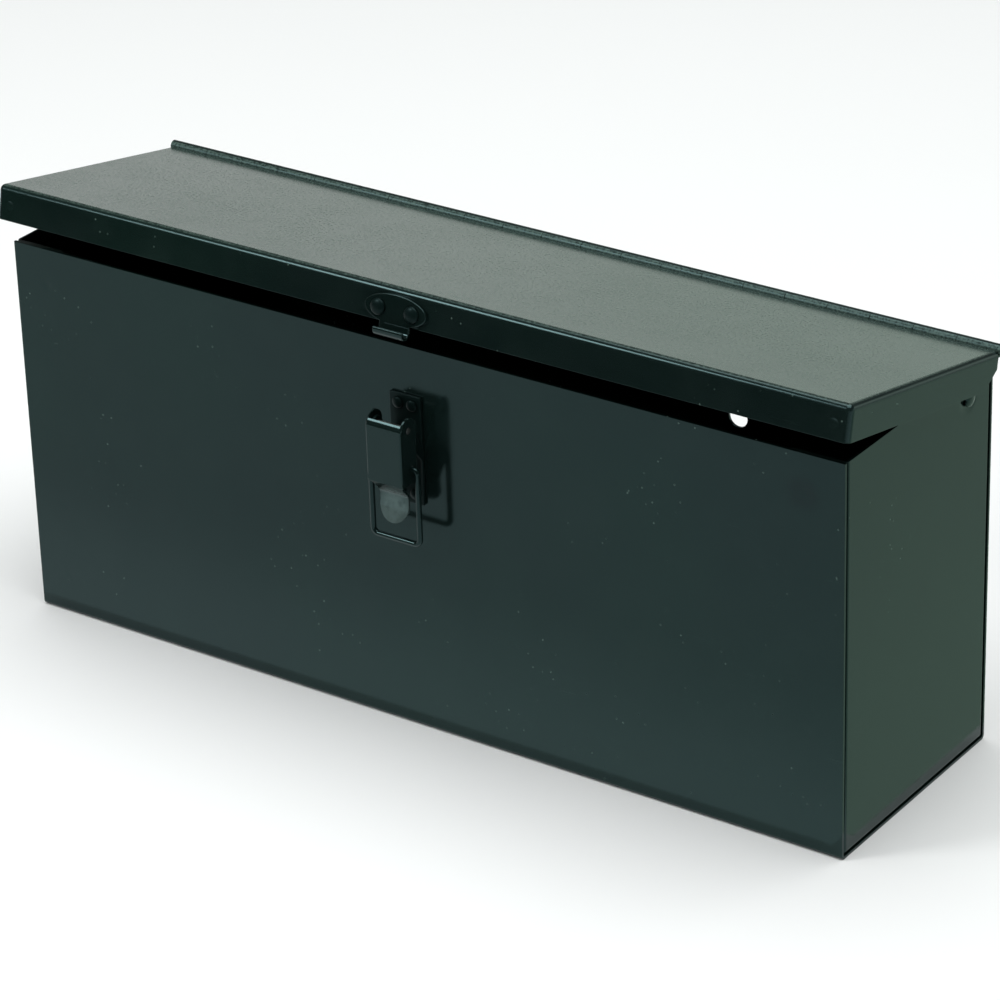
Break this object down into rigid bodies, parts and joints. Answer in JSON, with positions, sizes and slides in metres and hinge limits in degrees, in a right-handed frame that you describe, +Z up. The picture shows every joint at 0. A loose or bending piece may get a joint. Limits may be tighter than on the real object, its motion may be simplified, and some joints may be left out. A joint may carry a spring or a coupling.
{
  "type": "truck tool box",
  "caption": "Long low folded-steel tool box with a piano-hinged lid, a wire-bail draw latch and mounting holes in its rear panel.",
  "frame": {"origin": "centre of the body's flat bottom face, on the surface it stands on", "axes": "+X along the length towards the right end seen from the front, front with the latch towards -Y, +Z up"},
  "size_m": [0.51, 0.164, 0.2452],
  "materials": {
    "paint_body": "semi-gloss black-green enamel",
    "paint_lid": "semi-gloss black-green enamel, dusty on top",
    "paint_hardware": "semi-gloss black-green enamel, worn on edges",
    "steel_pin": "painted steel with bright ends",
    "steel_wire": "painted steel wire, worn"
  },
  "bodies": {
    "box": {"body_wrap": "paint_body", "end_panel_left": "paint_body", "end_panel_right": "paint_body", "end_rivet_left": "paint_hardware", "end_rivet_right": "paint_hardware", "hinge_leaf_body": "paint_hardware", "latch_base": "paint_hardware", "latch_rivet_top_left": "paint_hardware", "latch_rivet_top_right": "paint_hardware", "latch_rivet_bottom_left": "paint_hardware", "latch_rivet_bottom_right": "paint_hardware"},
    "lid": {"lid": "paint_lid", "hinge_leaf_lid": "paint_hardware", "hinge_pin": "steel_pin", "strike_plate": "paint_hardware", "strike_rivet_left": "paint_hardware", "strike_rivet_right": "paint_hardware"},
    "lever": {"latch_lever": "paint_hardware", "latch_pivot_pin": "steel_pin"},
    "bail": {"latch_bail": "steel_wire"}
  },
  "joints": [
    {"name": "lid_hinge", "type": "hinge", "parent": "box", "child": "lid", "pos_m": [0, 0.07, 0.2168], "axis": [-1, 0, 0], "range_deg": [-11.5, 248.5]},
    {"name": "latch_lever_pivot", "type": "hinge", "parent": "box", "child": "lever", "pos_m": [0, -0.0845, 0.176], "axis": [-1, 0, 0], "range_deg": [0, 145]},
    {"name": "latch_bail_pivot", "type": "hinge", "parent": "lever", "child": "bail", "pos_m": [0, -0.083, 0.1545], "axis": [-1, 0, 0], "range_deg": [-12, 185]}
  ]
}
